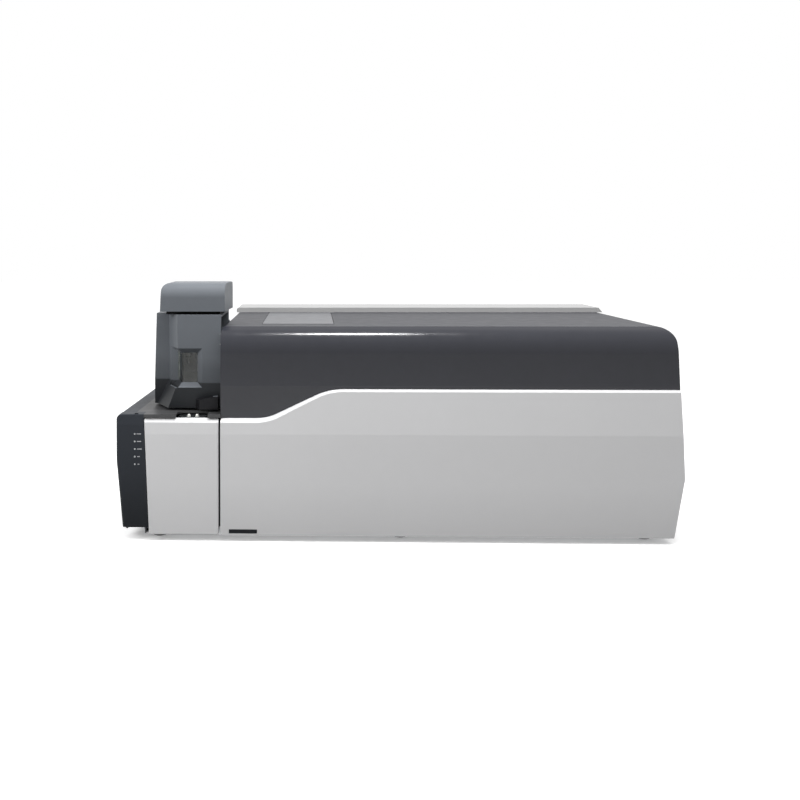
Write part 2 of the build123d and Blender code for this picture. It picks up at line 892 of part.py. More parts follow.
def source_plan(inset, lean, tuck, flare):
    """The ion source's plan: flat front, chamfer, set-back face and open right side."""
    left = source_left - lean
    face = source_front + tuck
    crease = source_left + setback_width + chamfer_width
    corners = [
        (source_right + 50.0, face),
        (crease - chamfer_flare * flare, face),
        (crease - chamfer_width - setback_flare * flare, face + chamfer_depth),
        (left, face + chamfer_depth),
        (left, source_back),
        (source_right + 50.0, source_back),
    ]
    moved = inset_corners(corners, inset)
    moved[0] = Vector(source_right, face + inset)
    moved[-1] = Vector(source_right, source_back - inset)
    return [(point.X, point.Y) for point in moved]


def lofted(low, high, z0, z1):
    sections = []
    for points, z in ((low, z0), (high, z1)):
        sections.append(Pos(0, 0, z) * make_face(Polyline(*points, close=True)))
    return loft(sections, ruled=True)


def source_body(inset, low, high):
    middle = source_plan(inset, source_lean * 0.85, 0, 0)
    upper = lofted(middle, source_plan(inset, 0, 0, 0), band_height, high)
    lower = lofted(source_plan(inset, source_lean, source_tuck, 1), middle, low, band_height)
    return upper + lower


source_crease = source_left + setback_width + chamfer_width
chamfer_length = hypot(chamfer_width, chamfer_depth)
chamfer_along = Vector(-chamfer_width / chamfer_length, chamfer_depth / chamfer_length)
chamfer_inward = Vector(chamfer_along.Y, -chamfer_along.X)


def crease_point(depth):
    """The mitre line of the window, that deep behind the two faces it runs round."""
    return (source_crease + depth * chamfer_inward.X / (1 + chamfer_inward.Y), source_front + depth)


def chamfer_point(along, depth):
    point = Vector(source_crease, source_front) + chamfer_along * along + chamfer_inward * depth
    return (point.X, point.Y)


def window_band(right, wrap, depth, thickness, low, high):
    """A band of one thickness that runs along the front face and round the crease."""
    inner = depth + thickness
    corners = [
        (right, source_front + depth), crease_point(depth), chamfer_point(wrap, depth),
        chamfer_point(wrap, inner), crease_point(inner), (right, source_front + inner),
    ]
    return plan_prism([(x, y, 0) for x, y in corners], low, high)


def window_pocket():
    """The bevelled pocket in front of the glass, in the front face and the chamfer."""
    low, high = window_bottom + window_bevel_bottom, window_top - window_bevel_top
    mouth = window_band(window_right, window_wrap, -8.0, 8.0, window_bottom, window_top)
    crease_x, crease_y = crease_point(window_depth)
    ends = (
        ((window_right, source_front), (window_right - window_bevel_side, source_front + window_depth)),
        (chamfer_point(window_wrap, 0), chamfer_point(window_wrap - window_bevel_end, window_depth)),
    )
    for outer, inner in ends:
        sections = []
        for (x, y), (x1, y1), z0, z1 in (
            ((source_crease, source_front), outer, window_bottom, window_top),
            ((crease_x, crease_y), inner, low, high),
        ):
            sections.append(make_face(Polyline((x, y, z0), (x1, y1, z0), (x1, y1, z1), (x, y, z1),
                                               close=True)))
        mouth += loft(sections, ruled=True)
    return mouth


glass_right = window_right - window_bevel_side + glass_overlap
glass_wrap = window_wrap - window_bevel_end + glass_overlap
glass_z0 = window_bottom + window_bevel_bottom - glass_overlap
glass_z1 = window_top - window_bevel_top + glass_overlap

hinge_x = wall_x - knuckle_radius - 1.0
hinge_y = source_back + knuckle_radius + 2.0
latch_x = wall_x - 14.0
latch_y = source_front - 7.5


def source_housing():
    housing = source_body(0, source_bottom, source_top)
    housing -= source_body(source_wall, source_bottom + source_wall, source_top - source_wall)
    housing += window_band(window_right + frame_rim, window_wrap + frame_rim, frame_rim,
                           window_depth + glass_thickness - frame_rim, window_bottom - frame_rim,
                           window_top + frame_rim)
    housing -= window_pocket()
    housing -= window_band(glass_right + glass_gap, glass_wrap + glass_gap, window_depth,
                           glass_thickness + glass_gap, glass_z0 - glass_gap, glass_z1 + glass_gap)
    housing -= upright(spray_x, spray_y, source_top - source_wall - 1, source_top + 1,
                       probe_radius + probe_clearance)
    for low in (hinge_low, hinge_high):
        knuckle = upright(hinge_x, hinge_y, low, low + knuckle_height, knuckle_radius)
        knuckle += block(hinge_x - knuckle_radius, hinge_x + 2.0, source_back - 3.0, hinge_y, low,
                         low + knuckle_height)
        knuckle -= upright(hinge_x, hinge_y, low - 1, low + knuckle_height + 1,
                           source_pin_radius + running_gap)
        housing += knuckle
    for low, high in ((latch_low, latch_low + ear_height), (latch_high - ear_height, latch_high)):
        ear = upright(latch_x, latch_y, low, high, ear_radius)
        ear += block(latch_x - ear_radius, latch_x + ear_radius, latch_y, source_front + source_tuck + 2,
                     low, high)
        ear -= upright(latch_x, latch_y, low, high, latch_pin_radius)
        housing += ear
    return housing


def source_window():
    return window_band(glass_right, glass_wrap, window_depth, glass_thickness, glass_z0, glass_z1)


def window_retainer():
    start = window_depth + glass_thickness
    reach = retainer_width - glass_overlap
    frame = window_band(glass_right + reach, glass_wrap + reach, start, retainer_thickness,
                        glass_z0 - reach, glass_z1 + reach)
    return frame - window_band(glass_right - glass_overlap, glass_wrap - glass_overlap, start - 1,
                               retainer_thickness + 2, glass_z0 + glass_overlap,
                               glass_z1 - glass_overlap)


cover_right = wall_x + probe_cover_overhang
cover_left = cover_right - probe_cover_width
cover_front = source_front + probe_cover_setback
cover_low = source_top + neck_height


def probe_neck():
    neck = block(cover_left + neck_inset, source_right - 4.0, cover_front + neck_inset,
                 cover_front + probe_cover_depth - neck_inset, source_top, cover_low)
    return neck - upright(spray_x, spray_y, source_top - 1, cover_low + 1,
                          probe_radius + probe_clearance)


def probe_cover():
    top = cover_low + probe_cover_height
    flared = cover_right + probe_cover_flare

    def shape(inset):
        section = side_prism([
            (cover_front + inset, cover_low + inset, 0),
            (cover_front + probe_cover_depth - inset, cover_low + inset, 0),
            (cover_front + probe_cover_depth - inset, top - inset, 10.0 - inset),
            (cover_front + inset, top - inset, probe_cover_roll - inset),
        ], cover_left - 5, cover_right + 15)
        face = front_prism([
            (cover_left + inset, cover_low + inset, 0),
            (flared - inset, cover_low + inset, 0),
            (flared - inset, top - inset, 4.0 - inset * 0.5),
            (cover_left + 2.5 + inset, top - inset, probe_cover_corner - inset),
        ], cover_front - 5, cover_front + probe_cover_depth + 5)
        plan = plan_prism([
            (cover_left - 5, cover_front, 0),
            (cover_right - inset, cover_front, 0),
            (flared - inset, cover_front + probe_cover_depth, 0),
            (cover_left - 5, cover_front + probe_cover_depth, 0),
        ], cover_low - 1, top + 1)
        return section & face & plan

    shell = shape(0) - shape(probe_cover_wall)
    return shell - upright(spray_x, spray_y, cover_low - 1, cover_low + probe_cover_wall + 1,
                           probe_radius + probe_clearance)


def probe_body():
    top = cover_low + probe_cover_wall
    nose = 362.0
    shank = 384.0
    profile = Polyline(
        (needle_radius, nose), (4.0, nose), (probe_radius, shank), (probe_radius, top),
        (probe_flange_radius, top), (probe_flange_radius, top + 6), (9.0, top + 6),
        (9.0, top + 34), (needle_radius, top + 34), close=True,
    )
    face = Plane.XZ * make_face(profile)
    return Pos(spray_x, spray_y, 0) * revolve(face, Axis.Z)


def spray_needle():
    return upright(spray_x, spray_y, spray_tip, cover_low + 30.0, needle_radius)


def source_hinge_bracket():
    leaves = []
    for low in (hinge_low, hinge_high):
        z1 = low - seat
        z0 = z1 - knuckle_height
        leaf = upright(hinge_x, hinge_y, z0, z1, knuckle_radius)
        leaf += block(wall_x - 3.0, wall_x, hinge_y, hinge_y + 24.0, z0, z1)
        leaf += block(hinge_x, wall_x, hinge_y, hinge_y + knuckle_radius, z0, z1)
        leaf -= upright(hinge_x, hinge_y, z0 - 1, z1 + 1, source_pin_radius)
        leaves.append(leaf)
    return leaves


def source_hinge_pins():
    return [
        upright(hinge_x, hinge_y, low - seat - knuckle_height, low + knuckle_height, source_pin_radius)
        for low in (hinge_low, hinge_high)
    ]


def latch_lever():
    left_facet = 9.0
    lug_low = latch_low + ear_height + 0.4
    lug_high = latch_high - ear_height - 0.4
    face = source_front - latch_reach
    body = plan_prism([
        (latch_left, source_front - 6.0, 0),
        (latch_left + left_facet, face, 2.0),
        (latch_x - ear_radius, face + 0.8, 0),
        (latch_x + ear_radius + 1.0, latch_y - ear_radius - 3.0, 0),
        (latch_x + ear_radius + 1.0, latch_y - ear_radius - 0.6, 0),
        (latch_x - ear_radius - 1.5, latch_y - ear_radius - 0.6, 0),
        (latch_x - ear_radius - 1.5, source_front - 1.0, 0),
        (latch_left + 2.0, source_front - 1.0, 0),
    ], latch_low, latch_high)
    wedge = front_prism([
        (latch_left - 1, latch_high - 7.0, 0),
        (latch_x, latch_high + 1.0, 0),
        (latch_left - 1, latch_high + 1.0, 0),
    ], face - 2, source_front)
    body -= wedge
    lug = upright(latch_x, latch_y, lug_low, lug_high, ear_radius - 0.4)
    lug += block(latch_x - ear_radius - 3.0, latch_x, latch_y - 4.5, latch_y + 4.5, lug_low, lug_high)
    body += lug
    return body - upright(latch_x, latch_y, latch_low - 1, latch_high + 1,
                          latch_pin_radius + running_gap)


def latch_pin():
    return upright(latch_x, latch_y, latch_low, latch_high, latch_pin_radius)


def latch_keeper():
    plate = block(wall_x - 3.0, wall_x, latch_y - 14, latch_y + 10, latch_low + 6, latch_high - 4)
    return fillet(plate.edges().filter_by(Axis.X), 2.0)


# ---- Vacuum system ------------------------------------------------------------------------------
chamber_y0 = spray_y - chamber_width / 2
chamber_y1 = spray_y + chamber_width / 2
chamber_end = right_end - chamber_end_gap
chamber_length = chamber_end - chamber_x
chamber_high = chamber_low + chamber_height
cavity_floor = chamber_low + chamber_wall
pump_positions = (pump_start, chamber_length - pump_end_gap)


def pump_centres():
    return [chamber_x + offset for offset in pump_positions]


def vacuum_chamber():
    chamber = block(chamber_x, chamber_end, chamber_y0, chamber_y1, chamber_low, chamber_high)
    chamber = fillet(chamber.edges().filter_by(Axis.Z), 6.0)
    w = chamber_wall
    bulkhead = chamber_x + 90.0
    chamber -= block(chamber_x + w, bulkhead - 5, chamber_y0 + w, chamber_y1 - w, cavity_floor,
                     chamber_high + 1)
    chamber -= block(bulkhead + 5, chamber_end - w, chamber_y0 + w, chamber_y1 - w, cavity_floor,
                     chamber_high + 1)
    chamber -= rod_x(bulkhead - 6, bulkhead + 6, spray_y, inlet_height, 3.0)
    chamber -= rod_x(chamber_x - 1, chamber_x + w + 1, spray_y, inlet_height, line_radius)
    for x in pump_centres():
        chamber -= upright(x, spray_y, chamber_low - 1, cavity_floor + 1, pump_port_radius)
    return chamber


def chamber_lid():
    lid = block(chamber_x, chamber_end, chamber_y0, chamber_y1, chamber_high,
                chamber_high + chamber_lid_thickness)
    lid = fillet(lid.edges().filter_by(Axis.Z), 6.0)
    return chamfer(lid.faces().sort_by(Axis.Z)[-1].edges(), 1.5)


def chamber_stands():
    stands = []
    for x in (chamber_x + stand_inset, chamber_end - stand_inset):
        t = stand_thickness
        profile = [
            (x, pan_top, 0), (x + stand_foot, pan_top, 0), (x + stand_foot, pan_top + t, 0),
            (x + t, pan_top + t, 4.0), (x + t, chamber_low - t, 4.0),
            (x + stand_foot, chamber_low - t, 0), (x + stand_foot, chamber_low, 0),
            (x, chamber_low, 0),
        ]
        stand = front_prism(profile, chamber_y0, chamber_y1)
        window = side_prism([
            (chamber_y0 + 30, 60, 8.0), (chamber_y1 - 30, 60, 8.0),
            (chamber_y1 - 30, chamber_low - 60, 8.0), (chamber_y0 + 30, chamber_low - 60, 8.0),
        ], x - 1, x + t + 1)
        stands.append(stand - window)
    return stands


def ion_guide():
    x0 = chamber_x + chamber_wall + 10.0
    x1 = x0 + 52.0
    guide = None
    for i in range(8):
        angle = radians(22.5 + 45 * i)
        rod = rod_x(x0, x1, spray_y + 9 * cos(angle), inlet_height + 9 * sin(angle), 2.0)
        guide = rod if guide is None else guide + rod
    for x in (x0 + 6, x1 - 12):
        ring = rod_x(x, x + 6, spray_y, inlet_height, 18) - rod_x(x - 1, x + 7, spray_y, inlet_height, 8)
        foot = block(x, x + 6, spray_y - 12, spray_y + 12, cavity_floor, inlet_height - 12)
        guide += ring + foot
    return guide


rod_radius = 8.0
rod_offset = 17.0
cell_length = 110.0
cell_width = 60.0
cell_foot = 20.0
row_start = 110.0
row_end_gap = 10.0
cell_gap = 32.0
exit_gap = 30.0
detector_gap = 6.0
detector_length = 28.0
row_length = chamber_length - chamber_wall - row_end_gap - row_start
spare_length = cell_gap + cell_length + exit_gap + detector_gap + detector_length
quad_length = (row_length - spare_length) / 2
cell_start = row_start + quad_length + cell_gap
quad_starts = (row_start, cell_start + cell_length + exit_gap)
collar_width = 14.0
collar_radius = 34.0


def quadrupole(start):
    x0 = chamber_x + start
    rods = []
    for i in range(4):
        angle = radians(45 + 90 * i)
        rods.append(rod_x(x0, x0 + quad_length, spray_y + rod_offset * cos(angle),
                          inlet_height + rod_offset * sin(angle), rod_radius))
    return rods


def rod_collars():
    collars = []
    for start in quad_starts:
        for x in (chamber_x + start + 22, chamber_x + start + quad_length - 36):
            collar = rod_x(x, x + collar_width, spray_y, inlet_height, collar_radius)
            collar += block(x, x + collar_width, spray_y - 22, spray_y + 22, cavity_floor,
                            inlet_height - 20)
            collar -= rod_x(x - 1, x + collar_width + 1, spray_y, inlet_height, 12.0)
            for i in range(4):
                angle = radians(45 + 90 * i)
                collar -= rod_x(x - 1, x + collar_width + 1, spray_y + rod_offset * cos(angle),
                                inlet_height + rod_offset * sin(angle), rod_radius)
            collars.append(collar)
    return collars


def collision_cell():
    x0 = chamber_x + cell_start
    half = cell_width / 2
    cell = block(x0, x0 + cell_length, spray_y - half, spray_y + half, inlet_height - half,
                 inlet_height + half)
    cell = fillet(cell.edges().filter_by(Axis.X), 8.0)
    for foot in (x0 + 15, x0 + cell_length - 15 - cell_foot):
        cell += block(foot, foot + cell_foot, spray_y - cell_foot, spray_y + cell_foot, cavity_floor,
                      inlet_height - half + 5)
    return cell - rod_x(x0 - 1, x0 + cell_length + 1, spray_y, inlet_height, 6.0)


def ion_detector():
    x0 = chamber_x + quad_starts[1] + quad_length + detector_gap
    body = block(x0, x0 + detector_length, spray_y - 20, spray_y + 34, cavity_floor, inlet_height + 26)
    body = fillet(body.edges().filter_by(Axis.Z), 4.0)
    return body - rod_x(x0 - 1, x0 + 14, spray_y, inlet_height, 7.0)


pump_top = chamber_low
pump_floor = chamber_low - pump_height


def turbo_casings():
    casings = []
    for x in pump_centres():
        inner = pump_radius - pump_wall
        profile = Polyline(
            (rotor_shaft_radius + running_gap, pump_floor), (pump_radius, pump_floor),
            (pump_radius, pump_top - pump_flange), (pump_flange_radius, pump_top - pump_flange),
            (pump_flange_radius, pump_top), (pump_port_radius, pump_top),
            (pump_port_radius, pump_top - pump_flange), (inner, pump_top - pump_flange - 8),
            (inner, pump_floor + 12), (20, pump_floor + 12), (20, pump_floor + 30),
            (rotor_shaft_radius + running_gap, pump_floor + 30), close=True,
        )
        casings.append(Pos(x, spray_y, 0) * revolve(Plane.XZ * make_face(profile), Axis.Z))
    return casings


def turbo_rotor(x):
    hub_low = pump_floor + 34
    hub_high = hub_low + blade_stages * stage_pitch + 4
    rotor = upright(0, 0, hub_low, hub_high, rotor_hub_radius)
    rotor = chamfer(rotor.edges().sort_by(Axis.Z)[-1], 6.0)
    rotor += upright(0, 0, pump_floor + 6, hub_low + 1, rotor_shaft_radius)
    tip = pump_radius - pump_wall - rotor_tip_gap
    for stage in range(blade_stages):
        z = hub_low + 14 + stage * stage_pitch
        for i in range(blade_count):
            middle = (rotor_hub_radius + tip) / 2
            blade = Box(tip - rotor_hub_radius + 6, blade_thickness, blade_height)
            rotor += Rot(0, 0, 360 * i / blade_count) * Pos(middle - 3, 0, z) * Rot(blade_angle, 0, 0) * blade
    return Pos(x, spray_y, 0) * rotor


foreline_x = chamber_x + sum(pump_positions) / len(pump_positions)
foreline_z = pump_floor + 20.0
exhaust_x = left_end + 120.0
exhaust_z = 150.0
gas_height = 230.0


def foreline_pipe():
    """One pipe that joins both pumps and leaves through the rear panel as a hose nipple."""
    left, right = pump_centres()
    y = spray_y + pump_radius + 25.0
    pipe = rod_x(left - 16, right + 16, y, foreline_z, foreline_radius)
    for x in (left, right):
        branch = rod_y(x, spray_y, y, foreline_z, foreline_radius - 3.0)
        pipe += branch - upright(x, spray_y, foreline_z - 20, foreline_z + 20, pump_radius)
    pipe += rod_y(foreline_x, y, back, foreline_z, foreline_run_radius)
    pipe += rod_y(foreline_x, back, back + collar_thickness, foreline_z, foreline_radius + collar_rim)
    pipe += rod_y(foreline_x, back, back + port_reach, foreline_z, nipple_radius)
    return pipe - rod_y(foreline_x, back - 60, back + port_reach + 1, foreline_z, foreline_bore)


def exhaust_port():
    pipe = rod_y(exhaust_x, back - 40, back + port_reach, exhaust_z, exhaust_radius)
    pipe += rod_y(exhaust_x, back, back + collar_thickness, exhaust_z, exhaust_radius + collar_rim + 2)
    return pipe - rod_y(exhaust_x, back - 41, back + port_reach + 1, exhaust_z, exhaust_radius - 1.5)


def gas_centres():
    return [wall_x + 60.0 + i * gas_spacing for i in range(gas_count)]


def gas_inlets():
    inlets = []
    for x in gas_centres():
        fitting = rod_y(x, back - 24, back + port_reach - 2, gas_height, gas_body_radius)
        hexagon = Plane(origin=(x, back + 8, gas_height), x_dir=(1, 0, 0), z_dir=(0, -1, 0))
        fitting += extrude(hexagon * RegularPolygon(10.5, 6), 8.0)
        fitting -= rod_y(x, back - 14, back + port_reach, gas_height, gas_tube_radius)
        inlets.append(fitting)
    return inlets


def fan_centres():
    return [chamber_x + offset for offset in fan_positions]


fan_back = back - sheet
fan_front = fan_back - fan_thickness


def fan_frames():
    frames = []
    for x in fan_centres():
        half = fan_size / 2
        frame = block(x - half, x + half, fan_front, fan_back, fan_height - half, fan_height + half)
        frame = fillet(frame.edges().filter_by(Axis.Y), 6.0)
        frame -= rod_y(x, fan_front - 1, fan_back + 1, fan_height, fan_radius)
        for i in range(3):
            spoke = block(15, fan_radius + 1, fan_front, fan_front + 4, -3, 3)
            frame += Pos(x, 0, fan_height) * Rot(0, 90 + 120 * i, 0) * spoke
        motor = rod_y(x, fan_front, fan_front + 8, fan_height, fan_hub_radius)
        motor -= rod_y(x, fan_front - 1, fan_front + 9, fan_height, fan_shaft_radius + running_gap)
        frames.append(frame + motor)
    return frames


def fan_rotor(x):
    y0 = fan_front + 8.6
    y1 = fan_back - 2.0
    rotor = rod_y(0, y0, y1, 0, fan_hub_radius)
    rotor += rod_y(0, fan_front + 1.0, y0 + 1, 0, fan_shaft_radius)
    tip = fan_radius - 2.5
    middle = (y0 + y1) / 2
    for i in range(fan_blades):
        blade = Box(tip - fan_hub_radius + 5, 2.0, 20.0)
        rotor += Rot(0, 360 * i / fan_blades, 0) * Pos((tip + fan_hub_radius) / 2 - 2.5, middle, 0) \
            * Rot(40, 0, 0) * blade
    return Pos(x, 0, fan_height) * rotor


mains_x = right_end - 147.5
switch_x = mains_x - 50.0
mains_z = 60.0


def mains_inlet():
    half = mains_width / 2
    rise = mains_height / 2
    inlet = block(mains_x - half, mains_x + half, back - 28, back, mains_z - rise, mains_z + rise)
    inlet += block(mains_x - half - 6, mains_x + half + 6, back, back + 3, mains_z - rise - plate_rim,
                   mains_z + rise + plate_rim)
    well = block(mains_x - 16, mains_x + 16, back - 20, back + 4, mains_z - 10, mains_z + 10)
    inlet -= fillet(well.edges().filter_by(Axis.Y), 3.0)
    for dx, dz in ((-8, -3), (8, -3), (0, 4)):
        inlet += block(mains_x + dx - 1, mains_x + dx + 1, back - 21, back - 4, mains_z + dz - 3,
                       mains_z + dz + 3)
    return inlet


rocker_depth = 5.0


def switch_frame():
    half = switch_width / 2
    rise = mains_height / 2
    frame = block(switch_x - half, switch_x + half, back - 22, back, mains_z - rise, mains_z + rise)
    frame += block(switch_x - half - 2, switch_x + half + 2, back, back + 2.5, mains_z - rise - plate_rim,
                   mains_z + rise + plate_rim)
    frame -= block(switch_x - 8.5, switch_x + 8.5, back - 14, back + 4, mains_z - 12.5, mains_z + 12.5)
    return frame - rod_x(switch_x - 10.5, switch_x + 10.5, back - rocker_depth, mains_z, 1.5)


def switch_rocker():
    top = back + 4.5
    profile = [
        (back - rocker_depth, mains_z - 4, 0),
        (back - 2.0, mains_z - 9.5, 0),
        (top, mains_z - 9.5, 0),
        (back + 1.0, mains_z, 0),
        (back - 0.5, mains_z + 11.0, 0),
        (back - 6.0, mains_z + 10.0, 0),
        (back - rocker_depth - 3, mains_z, 0),
    ]
    rocker = side_prism(profile, switch_x - 8.0, switch_x + 8.0)
    return rocker + rod_x(switch_x - 10.2, switch_x + 10.2, back - rocker_depth, mains_z,
                          1.5 - running_gap)


def rf_generators():
    boxes = []
    for offset in (generator_start, chamber_length - generator_end_gap):
        x = chamber_x + offset
        box = block(x, x + generator_width, chamber_y1, chamber_y1 + generator_depth, chamber_low + 15,
                    chamber_high - 10)
        box = chamfer(box.edges().filter_by(Axis.X), 2.0)
        boxes.append(box)
    return boxes


def power_supply():
    x1 = pan_right - 12.0
    x0 = x1 - supply_width
    y1 = back - 40.0
    y0 = y1 - supply_depth
    box = block(x0, x1, y0, y1, pan_top, pan_top + supply_height)
    for i in range(6):
        box -= block(x0 - 1, x0 + 2, y0 + 15 + i * 20, y0 + 25 + i * 20, pan_top + 20,
                     pan_top + supply_height - 20)
    return box


def control_board():
    x0 = wall_x + 20.0
    x1 = x0 + board_tray_width
    y = back - board_setback
    tray = block(x0, x1, y, y + sheet, pan_top, pan_top + board_tray_height)
    tray += block(x0, x1, y, y + 25, pan_top, pan_top + sheet)
    for x in (x0 + 12, x1 - 12):
        for z in (pan_top + 20, pan_top + board_tray_height - 10):
            tray += rod_y(x, y - board_post, y + 1, z, 3.0)
    tray += block(x0 + 5, x1 - 5, y - board_post - board_thickness, y - board_post, pan_top + 12,
                  pan_top + board_tray_height - 3)
    for i in range(4):
        chip = x0 + 40 + i * 60
        tray += block(chip, chip + 32, y - board_post - 6, y - board_post - 1, pan_top + 60, pan_top + 92)
    return tray


# ---- Write the parts ----------------------------------------------------------------------------
os.makedirs("parts", exist_ok=True)

save("rubber_feet", *rubber_feet())
save("base_pan", base_pan())
save("left_side_cover", left_side_cover())
save("status_bezel", status_bezel())
save("status_lamps", *status_lamps())
save("shelf_cover", shelf_cover())
save("tube_port", tube_port())
save("tube_unions", *tube_unions())
save("compartment_liner", compartment_liner())
save("left_door", left_door())
save("door_pivot_pins", *door_pivot_pins())
save("switching_valve", switching_valve())
save("lower_front_panel", lower_front_panel())
save("upper_cover", upper_cover())
save("deck_lid", deck_lid())
save("lid_hinge_pins", *lid_hinge_pins())
save("rear_top_cover", rear_top_cover())
save("rear_panel", rear_panel())
save("right_side_panel", right_side_panel())
save("partition_wall", partition_wall())
save("interface_flange", interface_flange())
save("source_seal", source_seal())
save("heater_block", heater_block())
save("desolvation_line", desolvation_line())
save("source_housing", source_housing())
save("source_window", source_window())
save("window_retainer", window_retainer())
save("probe_neck", probe_neck())
save("probe_cover", probe_cover())
save("probe_body", probe_body())
save("spray_needle", spray_needle())
save("source_hinge_bracket", *source_hinge_bracket())
save("source_hinge_pins", *source_hinge_pins())
save("latch_lever", latch_lever())
save("latch_pin", latch_pin())
save("latch_keeper", latch_keeper())
save("vacuum_chamber", vacuum_chamber())
save("chamber_lid", chamber_lid())
save("chamber_stands", *chamber_stands())
save("ion_guide", ion_guide())
save("quadrupole_1", *quadrupole(quad_starts[0]))
save("collision_cell", collision_cell())
save("quadrupole_3", *quadrupole(quad_starts[1]))
save("rod_collars", *rod_collars())
save("ion_detector", ion_detector())
save("turbo_casings", *turbo_casings())
save("turbo_rotor_1", turbo_rotor(pump_centres()[0]))
save("turbo_rotor_2", turbo_rotor(pump_centres()[1]))
save("foreline_pipe", foreline_pipe())
save("exhaust_port", exhaust_port())
save("gas_inlets", *gas_inlets())
save("fan_frames", *fan_frames())
save("fan_rotor_1", fan_rotor(fan_centres()[0]))
save("fan_rotor_2", fan_rotor(fan_centres()[1]))
save("mains_inlet", mains_inlet())
save("switch_frame", switch_frame())
save("switch_rocker", switch_rocker())
save("rf_generators", *rf_generators())
save("power_supply", power_supply())
save("control_board", control_board())
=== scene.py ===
import math

import bmesh
import bpy
from mathutils import Euler, Matrix, Vector
from mathutils.bvhtree import BVHTree


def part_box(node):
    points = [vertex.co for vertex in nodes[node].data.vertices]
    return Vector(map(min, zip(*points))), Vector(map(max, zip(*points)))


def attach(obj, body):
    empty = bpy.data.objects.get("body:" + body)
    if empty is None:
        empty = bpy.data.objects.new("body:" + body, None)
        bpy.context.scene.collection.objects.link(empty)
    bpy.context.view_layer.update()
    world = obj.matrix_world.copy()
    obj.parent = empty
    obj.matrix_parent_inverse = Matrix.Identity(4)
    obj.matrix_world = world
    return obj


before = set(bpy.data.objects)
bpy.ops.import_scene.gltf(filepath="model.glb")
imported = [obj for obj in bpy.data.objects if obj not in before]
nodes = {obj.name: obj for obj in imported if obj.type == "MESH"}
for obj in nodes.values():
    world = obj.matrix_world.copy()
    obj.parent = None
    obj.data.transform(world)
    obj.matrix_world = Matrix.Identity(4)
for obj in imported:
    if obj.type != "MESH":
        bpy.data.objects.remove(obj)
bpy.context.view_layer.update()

MM = 0.001


# ---- Scene settings -----------------------------------------------------------------------------
scene = bpy.context.scene
scene.view_settings.view_transform = "Standard"


# ---- Node helpers -------------------------------------------------------------------------------
class Graph:
    """A small wrapper that adds and links shader nodes; each method returns the new node's output."""

    def __init__(self, tree):
        self.tree = tree

    def new(self, kind):
        return self.tree.nodes.new(kind)

    def put(self, socket, value):
        if isinstance(value, bpy.types.NodeSocket):
            self.tree.links.new(value, socket)
        else:
            socket.default_value = value

    def math(self, operation, a, b=0.0, clamp=False):
        node = self.new("ShaderNodeMath")
        node.operation = operation
        node.use_clamp = clamp
        self.put(node.inputs[0], a)
        self.put(node.inputs[1], b)
        return node.outputs[0]

    def mix(self, share, a, b, blend="MIX"):
        node = self.new("ShaderNodeMix")
        node.data_type = "RGBA"
        node.blend_type = blend
        self.put(node.inputs[0], share)
        self.put(node.inputs[6], a)
        self.put(node.inputs[7], b)
        return node.outputs[2]

    def span(self, value, low, high, to_low=0.0, to_high=1.0):
        node = self.new("ShaderNodeMapRange")
        self.put(node.inputs["Value"], value)
        node.inputs["From Min"].default_value = low
        node.inputs["From Max"].default_value = high
        node.inputs["To Min"].default_value = to_low
        node.inputs["To Max"].default_value = to_high
        return node.outputs["Result"]

    def noise(self, place, scale, detail=3.0, rough=0.55):
        node = self.new("ShaderNodeTexNoise")
        self.put(node.inputs["Vector"], place)
        node.inputs["Scale"].default_value = scale
        node.inputs["Detail"].default_value = detail
        node.inputs["Roughness"].default_value = rough
        return node.outputs["Fac"]

    def parts_of(self, vector):
        node = self.new("ShaderNodeSeparateXYZ")
        self.put(node.inputs[0], vector)
        return node.outputs

    def grey(self, level):
        node = self.new("ShaderNodeCombineColor")
        for socket in node.inputs[:3]:
            self.put(socket, level)
        return node.outputs[0]

    def bump(self, height, strength, distance):
        node = self.new("ShaderNodeBump")
        node.inputs["Strength"].default_value = strength
        node.inputs["Distance"].default_value = distance
        self.put(node.inputs["Height"], height)
        return node.outputs[0]

    def seen_directly(self):
        """1 for rays of the camera, of mirrors and of glass, which show the backdrop itself."""
        path = self.new("ShaderNodeLightPath")
        shown = self.math("MAXIMUM", path.outputs["Is Camera Ray"], path.outputs["Is Glossy Ray"])
        return self.math("MAXIMUM", shown, path.outputs["Is Transmission Ray"])


def srgb(red, green, blue):
    """Linear colour from 0-255 display values."""

    def one(value):
        value /= 255.0
        return value / 12.92 if value <= 0.04045 else ((value + 0.055) / 1.055) ** 2.4

    return (one(red), one(green), one(blue), 1.0)


def scaled(colour, by):
    return tuple(min(1.0, c * by) for c in colour[:3]) + (1.0,)


def empty_material(name):
    """A new material with only an output and a Principled shader."""
    material = bpy.data.materials.new(name)
    material.use_nodes = True
    tree = material.node_tree
    tree.nodes.clear()
    g = Graph(tree)
    out = g.new("ShaderNodeOutputMaterial")
    shader = g.new("ShaderNodeBsdfPrincipled")
    tree.links.new(shader.outputs[0], out.inputs[0])
    return material, g, shader


# Noise scales in cells per metre: broad clouds in a paint, and the smaller patches within them.
CLOUDS = 5.0
PATCHES = 38.0
BRUSH_STRETCH = 0.02
# How far in from an edge the paler edges reach: part wear, part painted highlight.
EDGE_WEAR_AND_HIGHLIGHT_REACH = 0.9 * MM
PATCH_SHEEN = 0.16
GRAIN_SHEEN = 0.10
# A slope's upward lean, less its sideways one: from the first value on it counts as a ledge,
# which keeps its tone; walls take the painted shade that follows the height.
LEDGE, WALL = 0.45, 0.25


def brushed_place(g, place, axis):
    """Coordinates drawn out along one axis, for the scratches of brushed metal."""
    stretch = g.new("ShaderNodeMapping")
    g.put(stretch.inputs["Vector"], place)
    scale = [1.0, 1.0, 1.0]
    scale["XYZ".index(axis)] = BRUSH_STRETCH
    stretch.inputs["Scale"].default_value = scale
    return stretch.outputs[0]


